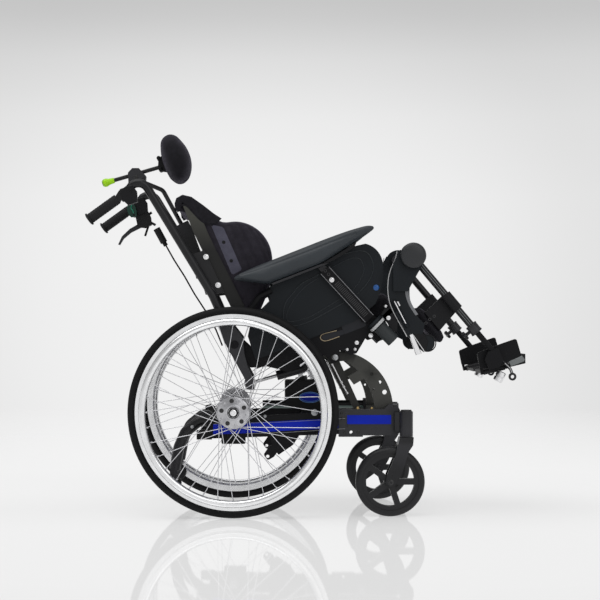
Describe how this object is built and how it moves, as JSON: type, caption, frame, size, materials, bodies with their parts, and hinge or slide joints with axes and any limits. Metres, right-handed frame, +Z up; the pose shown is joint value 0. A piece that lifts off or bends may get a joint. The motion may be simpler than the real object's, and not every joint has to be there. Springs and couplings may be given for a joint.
{
  "type": "tilt in space wheelchair",
  "caption": "Tilt in space wheelchair with reclining back, headrest, sliding armrests, swing-away elevating legrests, spoked rear wheels with handrims, swivel castors and anti-tips.",
  "frame": {"origin": "on the floor, under the middle of the chair's box", "axes": "+X forward, +Y to the sitter's left, +Z up"},
  "size_m": [1.2834, 0.656, 1.1274],
  "materials": {
    "frame_black": "satin",
    "royal_blue": "gloss",
    "arm_grey": "satin",
    "cover_black": "matte",
    "bright_alu": "satin",
    "tyre_black": "matte",
    "wheel_black": "satin",
    "steel": "satin",
    "cushion_cloth": "matte",
    "guard_plastic": "satin",
    "armpad_cover": "satin",
    "lime_plastic": "gloss",
    "green_plastic": "gloss",
    "rubber_black": "matte"
  },
  "bodies": {
    "chassis": {"side_beams": "frame_black", "front_castings": "frame_black", "blue_trims": "royal_blue", "cross_tubes": "frame_black", "curved_arms": "arm_grey", "axle_plates": "frame_black", "actuator_cover": "cover_black", "actuator_tube": "steel"},
    "lift_cylinder": {"lift_cylinder": "frame_black"},
    "lift_rod": {"lift_rod": "steel"},
    "seat": {"seat_rails": "frame_black", "seat_pan": "frame_black", "seat_cushion": "cushion_cloth", "side_guards": "guard_plastic", "arm_posts": "frame_black", "legrest_sockets": "cover_black"},
    "recline_cylinder": {"recline_cylinder": "frame_black"},
    "recline_rod": {"recline_rod": "steel"},
    "back": {"back_canes": "frame_black", "back_bracket": "frame_black", "back_shell": "guard_plastic", "back_cushion": "cushion_cloth", "brake_cable": "rubber_black"},
    "headrest_post": {"headrest_post": "frame_black"},
    "headrest_bar": {"headrest_bar": "frame_black"},
    "headrest_pad": {"headrest_pad": "cushion_cloth"},
    "brake_lever": {"brake_lever": "frame_black"},
    "release_trigger": {"release_trigger": "green_plastic"},
    "anti_tip_right": {"anti_tip_tube_right": "frame_black"},
    "anti_tip_roller_right": {"anti_tip_roller_right": "rubber_black"},
    "rear_wheel_right": {"rear_tyre_right": "tyre_black", "rear_rim_right": "bright_alu", "wheel_hub_right": "bright_alu", "handrim_right": "bright_alu"},
    "castor_fork_right": {"castor_fork_right": "frame_black"},
    "castor_wheel_right": {"castor_wheel_right": "wheel_black"},
    "armrest_right": {"arm_pad_right": "armpad_cover", "arm_slide_right": "frame_black"},
    "push_handle_right": {"push_handle_right": "rubber_black"},
    "legrest_right": {"legrest_hanger_right": "guard_plastic"},
    "leg_tube_right": {"leg_tube_right": "frame_black"},
    "calf_pad_right": {"calf_pad_right": "cushion_cloth"},
    "foot_tube_right": {"foot_tube_right": "frame_black"},
    "footplate_right": {"footplate_right": "cover_black"},
    "anti_tip_left": {"anti_tip_tube_left": "frame_black"},
    "anti_tip_roller_left": {"anti_tip_roller_left": "rubber_black"},
    "rear_wheel_left": {"rear_tyre_left": "tyre_black", "rear_rim_left": "bright_alu", "wheel_hub_left": "bright_alu", "handrim_left": "bright_alu"},
    "castor_fork_left": {"castor_fork_left": "frame_black"},
    "castor_wheel_left": {"castor_wheel_left": "wheel_black"},
    "armrest_left": {"arm_pad_left": "armpad_cover", "arm_slide_left": "frame_black"},
    "push_handle_left": {"push_handle_left": "rubber_black"},
    "legrest_left": {"legrest_hanger_left": "guard_plastic"},
    "leg_tube_left": {"leg_tube_left": "frame_black"},
    "calf_pad_left": {"calf_pad_left": "cushion_cloth"},
    "foot_tube_left": {"foot_tube_left": "frame_black"},
    "footplate_left": {"footplate_left": "cover_black"}
  },
  "joints": [
    {"name": "seat_tilt", "type": "hinge", "parent": "chassis", "child": "seat", "pos_m": [0.08, 0, 0.458], "axis": [0, -1, 0], "range_deg": [-21.3, 4]},
    {"name": "lift_cylinder_pivot", "type": "hinge", "parent": "chassis", "child": "lift_cylinder", "pos_m": [0.01, 0, 0.312], "axis": [0, -1, 0], "range_deg": [-2.8, 0.6]},
    {"name": "lift_rod_stroke", "type": "slide", "parent": "lift_cylinder", "child": "lift_rod", "axis": [-0.2282, 0, 0.9736], "range_m": [-0.0072, 0.0374]},
    {"name": "back_recline", "type": "hinge", "parent": "seat", "child": "back", "pos_m": [-0.208, 0, 0.496], "axis": [0, -1, 0], "range_deg": [0, 30]},
    {"name": "recline_spring_pivot", "type": "hinge", "parent": "seat", "child": "recline_cylinder", "pos_m": [0.01, -0.09, 0.428], "axis": [0, -1, 0], "range_deg": [-8.8, 0]},
    {"name": "recline_spring_stroke", "type": "slide", "parent": "recline_cylinder", "child": "recline_rod", "axis": [-0.9622, 0, -0.2725], "range_m": [-0.0604, 0]},
    {"name": "headrest_height", "type": "slide", "parent": "back", "child": "headrest_post", "axis": [-0.4775, 0, 0.8786], "range_m": [0, 0.05]},
    {"name": "headrest_depth", "type": "slide", "parent": "headrest_post", "child": "headrest_bar", "axis": [0.9598, 0, 0.2807], "range_m": [-0.02, 0.03]},
    {"name": "headrest_tilt", "type": "hinge", "parent": "headrest_bar", "child": "headrest_pad", "pos_m": [-0.43206, 0, 1.03183], "axis": [0, -1, 0], "range_deg": [-15, 15]},
    {"name": "rear_wheel_right_spin", "type": "hinge", "parent": "chassis", "child": "rear_wheel_right", "pos_m": [-0.211, -0.28, 0.3025], "axis": [0, 1, 0], "continuous": true},
    {"name": "castor_right_swivel", "type": "hinge", "parent": "chassis", "child": "castor_fork_right", "pos_m": [0.2885, -0.24, 0.25], "axis": [0, 0, 1], "continuous": true},
    {"name": "castor_right_roll", "type": "hinge", "parent": "castor_fork_right", "child": "castor_wheel_right", "pos_m": [0.2415, -0.24, 0.1], "axis": [0, 1, 0], "continuous": true},
    {"name": "anti_tip_right_flip", "type": "hinge", "parent": "chassis", "child": "anti_tip_right", "pos_m": [-0.275, -0.18, 0.27], "axis": [0, 1, 0], "range_deg": [0, 100]},
    {"name": "anti_tip_roller_right_spin", "type": "hinge", "parent": "anti_tip_right", "child": "anti_tip_roller_right", "pos_m": [-0.388, -0.18, 0.092], "axis": [0, 1, 0], "continuous": true},
    {"name": "armrest_right_height", "type": "slide", "parent": "seat", "child": "armrest_right", "axis": [-0.6769, 0, 0.7361], "range_m": [0, 0.07]},
    {"name": "push_handle_right_angle", "type": "hinge", "parent": "back", "child": "push_handle_right", "pos_m": [-0.522, -0.237, 0.934], "axis": [0, -1, 0], "range_deg": [-20, 20]},
    {"name": "legrest_right_swing", "type": "hinge", "parent": "seat", "child": "legrest_right", "pos_m": [0.226, -0.246, 0.532], "axis": [0.7071, 0, -0.7071], "range_deg": [0, 90]},
    {"name": "legrest_right_elevation", "type": "hinge", "parent": "legrest_right", "child": "leg_tube_right", "pos_m": [0.307, -0.235, 0.753], "axis": [0, -1, 0], "range_deg": [-5, 55]},
    {"name": "leg_right_length", "type": "slide", "parent": "leg_tube_right", "child": "foot_tube_right", "axis": [0.6468, 0, -0.7627], "range_m": [-0.03, 0.07]},
    {"name": "calf_pad_right_swing", "type": "hinge", "parent": "leg_tube_right", "child": "calf_pad_right", "pos_m": [0.42084, -0.235, 0.61877], "axis": [0.6468, 0, -0.7627], "range_deg": [0, 90]},
    {"name": "footplate_right_flip", "type": "hinge", "parent": "foot_tube_right", "child": "footplate_right", "pos_m": [0.54893, -0.2, 0.42251], "axis": [0.9724, 0, 0.2334], "range_deg": [0, 90]},
    {"name": "rear_wheel_left_spin", "type": "hinge", "parent": "chassis", "child": "rear_wheel_left", "pos_m": [-0.211, 0.28, 0.3025], "axis": [0, 1, 0], "continuous": true},
    {"name": "castor_left_swivel", "type": "hinge", "parent": "chassis", "child": "castor_fork_left", "pos_m": [0.2885, 0.24, 0.25], "axis": [0, 0, 1], "continuous": true},
    {"name": "castor_left_roll", "type": "hinge", "parent": "castor_fork_left", "child": "castor_wheel_left", "pos_m": [0.2415, 0.24, 0.1], "axis": [0, 1, 0], "continuous": true},
    {"name": "anti_tip_left_flip", "type": "hinge", "parent": "chassis", "child": "anti_tip_left", "pos_m": [-0.275, 0.18, 0.27], "axis": [0, 1, 0], "range_deg": [0, 100]},
    {"name": "anti_tip_roller_left_spin", "type": "hinge", "parent": "anti_tip_left", "child": "anti_tip_roller_left", "pos_m": [-0.388, 0.18, 0.092], "axis": [0, 1, 0], "continuous": true},
    {"name": "armrest_left_height", "type": "slide", "parent": "seat", "child": "armrest_left", "axis": [-0.6769, 0, 0.7361], "range_m": [0, 0.07]},
    {"name": "push_handle_left_angle", "type": "hinge", "parent": "back", "child": "push_handle_left", "pos_m": [-0.522, 0.237, 0.934], "axis": [0, -1, 0], "range_deg": [-20, 20]},
    {"name": "legrest_left_swing", "type": "hinge", "parent": "seat", "child": "legrest_left", "pos_m": [0.226, 0.246, 0.532], "axis": [-0.7071, 0, 0.7071], "range_deg": [0, 90]},
    {"name": "legrest_left_elevation", "type": "hinge", "parent": "legrest_left", "child": "leg_tube_left", "pos_m": [0.307, 0.235, 0.753], "axis": [0, -1, 0], "range_deg": [-5, 55]},
    {"name": "leg_left_length", "type": "slide", "parent": "leg_tube_left", "child": "foot_tube_left", "axis": [0.6468, 0, -0.7627], "range_m": [-0.03, 0.07]},
    {"name": "calf_pad_left_swing", "type": "hinge", "parent": "leg_tube_left", "child": "calf_pad_left", "pos_m": [0.42084, 0.235, 0.61877], "axis": [-0.6468, 0, 0.7627], "range_deg": [0, 90]},
    {"name": "footplate_left_flip", "type": "hinge", "parent": "foot_tube_left", "child": "footplate_left", "pos_m": [0.54893, 0.2, 0.42251], "axis": [-0.9724, 0, -0.2334], "range_deg": [0, 90]},
    {"name": "brake_lever_pull", "type": "hinge", "parent": "push_handle_left", "child": "brake_lever", "pos_m": [-0.508, 0.237, 0.868], "axis": [0, 1, 0], "range_deg": [0, 18], "stiffness_Nm_per_rad": 4},
    {"name": "release_trigger_pull", "type": "hinge", "parent": "push_handle_left", "child": "release_trigger", "pos_m": [-0.531, 0.218, 0.899], "axis": [0, -1, 0], "range_deg": [0, 15], "stiffness_Nm_per_rad": 1}
  ],
  "couplings": [
    {"joint": "lift_cylinder_pivot", "follows": "seat_tilt", "ratio": 0.1276},
    {"joint": "lift_rod_stroke", "follows": "seat_tilt", "m_per_rad": -0.09994},
    {"joint": "recline_spring_pivot", "follows": "back_recline", "ratio": -0.2882},
    {"joint": "recline_spring_stroke", "follows": "back_recline", "m_per_rad": -0.11496}
  ]
}
